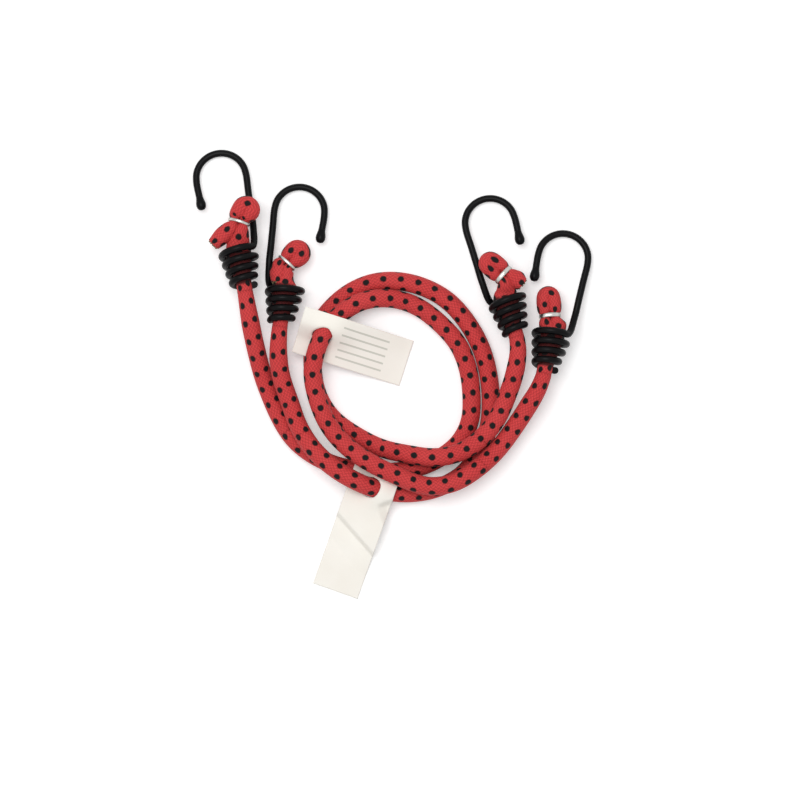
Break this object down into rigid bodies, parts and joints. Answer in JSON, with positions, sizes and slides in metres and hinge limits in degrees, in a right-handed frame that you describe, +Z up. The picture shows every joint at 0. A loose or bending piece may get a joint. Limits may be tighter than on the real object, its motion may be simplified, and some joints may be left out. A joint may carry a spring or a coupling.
{
  "type": "bungee cord",
  "caption": "Elastic cords with a dotted braided sheath, looped together, with black wire hooks on coiled grips, folded cord ends in metal clips, and punched card tags.",
  "frame": {"origin": "on the table, under the middle of the box round the hook ends", "axes": "+Z up from the table, +Y from the looped middle towards the hooks, +X to the right seen from above"},
  "size_m": [0.1768, 0.1995, 0.0186],
  "materials": {
    "sheath_red": "woven, with black dots",
    "core_rubber": "natural rubber threads",
    "wire_black": "semi-gloss dipped coating",
    "clip_zinc": "zinc plated",
    "card_white": "matt card"
  },
  "bodies": {
    "looped_middle": {"sheath_loop_a": "sheath_red", "core_loop_a": "core_rubber", "card_tag_a": "card_white", "sheath_loop_b": "sheath_red", "core_loop_b": "core_rubber", "card_tag_b": "card_white"},
    "lead_1": {"sheath_lead_1": "sheath_red", "core_lead_1": "core_rubber"},
    "hook_end_1": {"hook_1": "wire_black", "tip_bead_1": "wire_black", "folded_end_1": "sheath_red", "wire_clip_1": "clip_zinc"},
    "lead_2": {"sheath_lead_2": "sheath_red", "core_lead_2": "core_rubber"},
    "hook_end_2": {"hook_2": "wire_black", "tip_bead_2": "wire_black", "folded_end_2": "sheath_red", "wire_clip_2": "clip_zinc"},
    "lead_3": {"sheath_lead_3": "sheath_red", "core_lead_3": "core_rubber"},
    "hook_end_3": {"hook_3": "wire_black", "tip_bead_3": "wire_black", "folded_end_3": "sheath_red", "wire_clip_3": "clip_zinc"},
    "lead_4": {"sheath_lead_4": "sheath_red", "core_lead_4": "core_rubber"},
    "hook_end_4": {"hook_4": "wire_black", "tip_bead_4": "wire_black", "folded_end_4": "sheath_red", "wire_clip_4": "clip_zinc"}
  },
  "joints": [
    {"name": "stretch_1", "type": "slide", "parent": "looped_middle", "child": "lead_1", "axis": [-0.1719, 0.9851, 0], "range_m": [0, 0.066], "stiffness_N_per_m": 910, "deforming": ["sheath_lead_1", "core_lead_1"]},
    {"name": "twist_1", "type": "hinge", "parent": "lead_1", "child": "hook_end_1", "pos_m": [-0.0641, -0.0134, 0.0127], "axis": [-0.1719, 0.9851, 0], "range_deg": [0, 90]},
    {"name": "stretch_2", "type": "slide", "parent": "looped_middle", "child": "lead_2", "axis": [0.1219, 0.9925, 0], "range_m": [0, 0.05], "stiffness_N_per_m": 1200, "deforming": ["sheath_lead_2", "core_lead_2"]},
    {"name": "twist_2", "type": "hinge", "parent": "lead_2", "child": "hook_end_2", "pos_m": [-0.0488, -0.0289, 0.0127], "axis": [-0.1219, -0.9925, 0], "range_deg": [0, 90]},
    {"name": "stretch_3", "type": "slide", "parent": "looped_middle", "child": "lead_3", "axis": [-0.2588, 0.9659, 0], "range_m": [0, 0.049], "stiffness_N_per_m": 1220, "deforming": ["sheath_lead_3", "core_lead_3"]},
    {"name": "twist_3", "type": "hinge", "parent": "lead_3", "child": "hook_end_3", "pos_m": [0.0556, -0.0334, 0.0127], "axis": [0.2588, -0.9659, 0], "range_deg": [0, 90]},
    {"name": "stretch_4", "type": "slide", "parent": "looped_middle", "child": "lead_4", "axis": [0.2113, 0.9774, 0], "range_m": [0, 0.049], "stiffness_N_per_m": 1220, "deforming": ["sheath_lead_4", "core_lead_4"]},
    {"name": "twist_4", "type": "hinge", "parent": "lead_4", "child": "hook_end_4", "pos_m": [0.0676, -0.0495, 0.0127], "axis": [0.2113, 0.9774, 0], "range_deg": [0, 90]}
  ]
}
